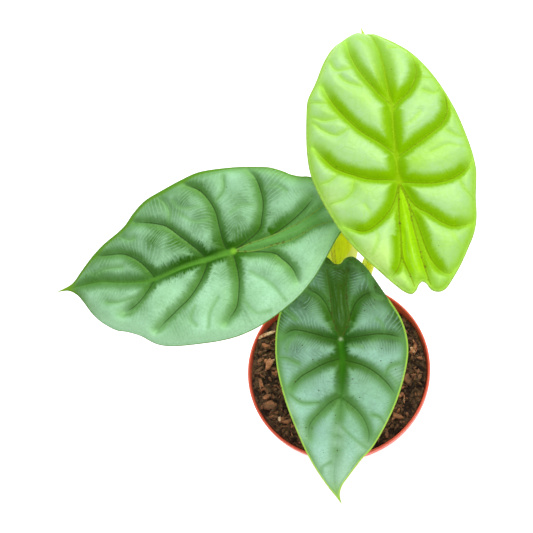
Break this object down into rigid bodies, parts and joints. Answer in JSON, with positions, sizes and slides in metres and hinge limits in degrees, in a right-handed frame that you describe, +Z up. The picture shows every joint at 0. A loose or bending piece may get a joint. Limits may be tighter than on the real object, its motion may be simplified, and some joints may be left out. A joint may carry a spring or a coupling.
{
  "type": "potted alocasia",
  "caption": "Small potted alocasia: quilted peltate leaves in lime and silver green on fleshy stalks, bark potting mix and a terracotta-coloured nursery pot.",
  "frame": {"origin": "middle of the pot's flat underside, on the surface that it stands on", "axes": "+Z up along the pot's axis; -Y is the front, where the lowest leaf hangs over the lip; -X is toward the left leaf"},
  "size_m": [0.2634, 0.2746, 0.2509],
  "materials": {
    "pot": "moulded, satin",
    "potting_mix": "loose, damp",
    "petiole": "smooth, fleshy",
    "blade_back": "waxy, quilted",
    "blade_left": "waxy, quilted",
    "blade_front": "waxy, quilted"
  },
  "bodies": {
    "root": {"pot": "pot", "potting_mix": "potting_mix", "petiole_back": "petiole", "petiole_left": "petiole", "petiole_front": "petiole", "blade_back": "blade_back", "blade_left": "blade_left", "blade_front": "blade_front"}
  },
  "joints": []
}
